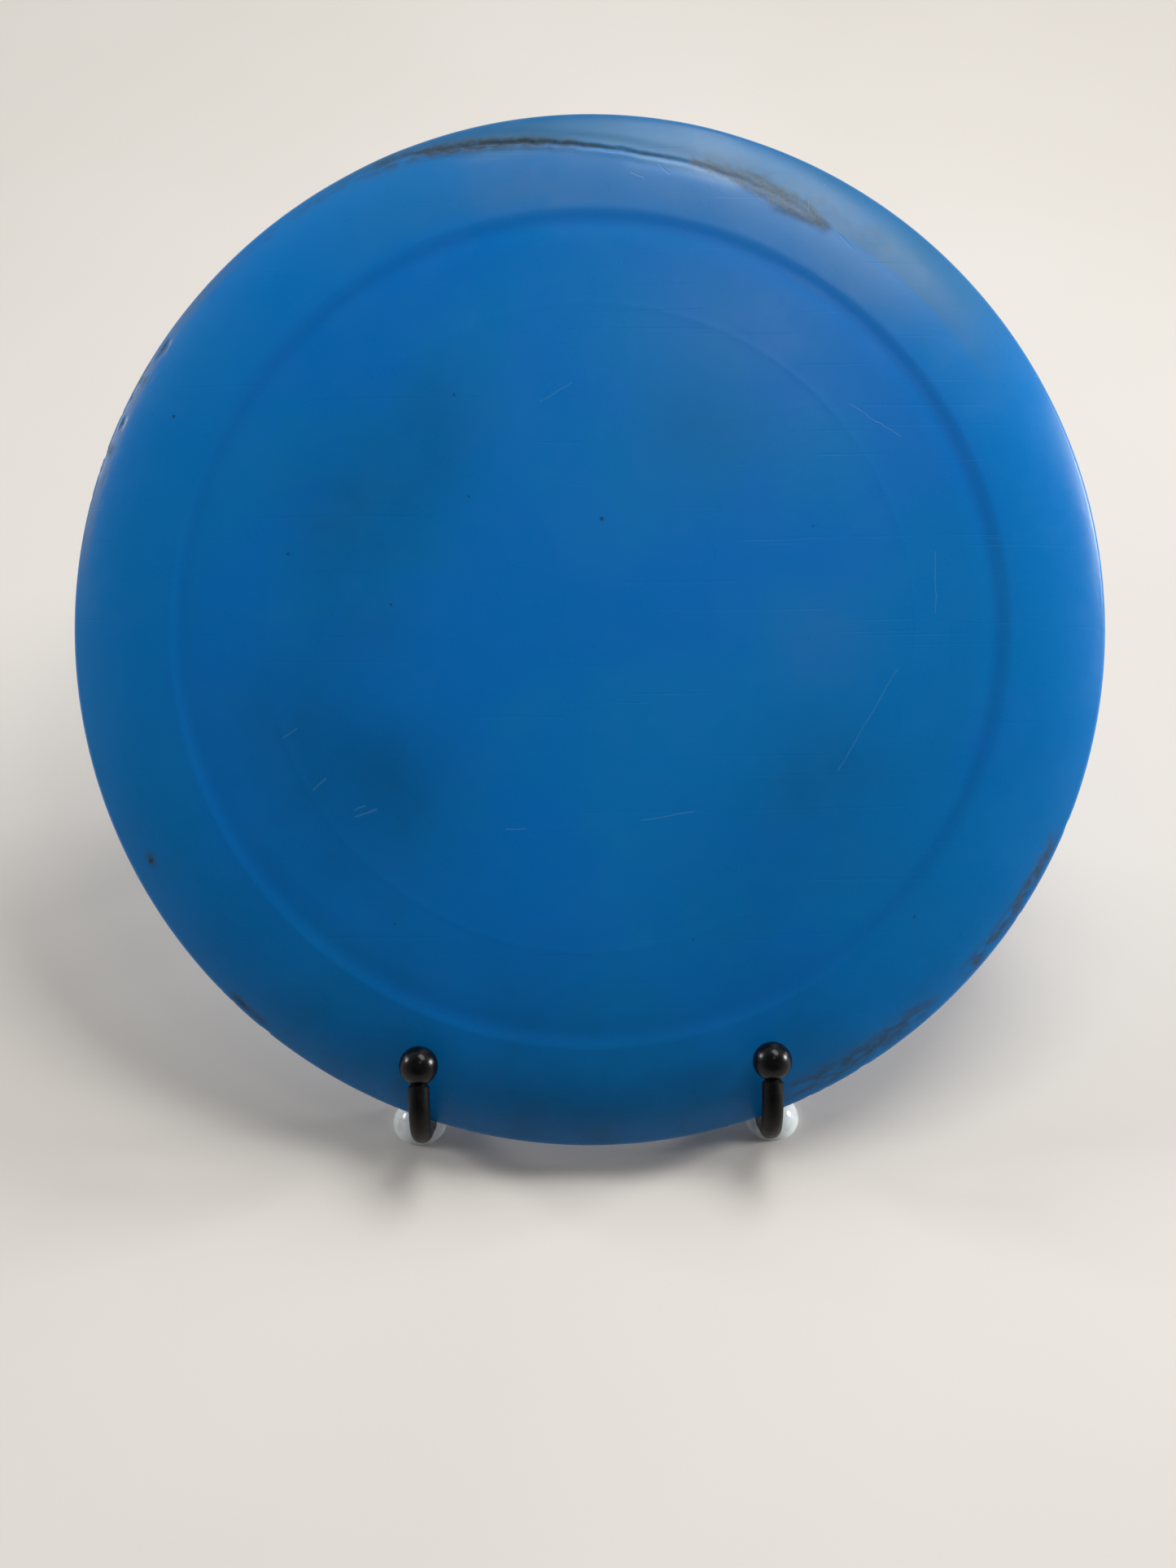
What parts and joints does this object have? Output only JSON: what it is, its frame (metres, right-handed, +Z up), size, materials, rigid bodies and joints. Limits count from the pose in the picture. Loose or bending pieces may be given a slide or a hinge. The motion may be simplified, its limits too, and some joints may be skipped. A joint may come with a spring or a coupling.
{
  "type": "golf disc on a wire display stand",
  "caption": "Wide-rimmed blue golf disc leaning in a folding black wire display stand with ball-tipped hooks, a hinged U-shaped rear leg and clear feet.",
  "frame": {"origin": "middle of the part's own box, on the floor that its clear feet stand on", "axes": "+X across to the right as seen from the front, +Y towards the back, where the rear leg stands, +Z up"},
  "size_m": [0.2114, 0.1648, 0.145],
  "materials": {
    "disc_plastic": "satin, scuffed",
    "black_coating": "satin black coating on steel rod",
    "black_ball": "semi-gloss",
    "spacer_black": "matte",
    "clear_rubber": "clear, soft gloss"
  },
  "bodies": {
    "stand_frame": {"left_side_rod": "black_coating", "right_side_rod": "black_coating", "left_ball_tip": "black_ball", "right_ball_tip": "black_ball", "lower_cross_bar": "black_coating", "hinge_bar": "black_coating", "stop_bar": "black_coating", "top_cross_bar": "black_coating", "left_hinge_spacer": "spacer_black", "right_hinge_spacer": "spacer_black", "left_front_foot": "clear_rubber", "right_front_foot": "clear_rubber"},
    "golf_disc": {"disc": "disc_plastic"},
    "rear_leg": {"back_leg": "black_coating", "left_rear_foot": "clear_rubber", "right_rear_foot": "clear_rubber"}
  },
  "joints": [
    {"name": "disc_lift", "type": "slide", "parent": "stand_frame", "child": "golf_disc", "axis": [0, 0.6521, 0.7581], "range_m": [0, 0.16]},
    {"name": "leg_fold", "type": "hinge", "parent": "stand_frame", "child": "rear_leg", "pos_m": [0, -0.00192, 0.07217], "axis": [-1, 0, 0], "range_deg": [0, 58]}
  ]
}
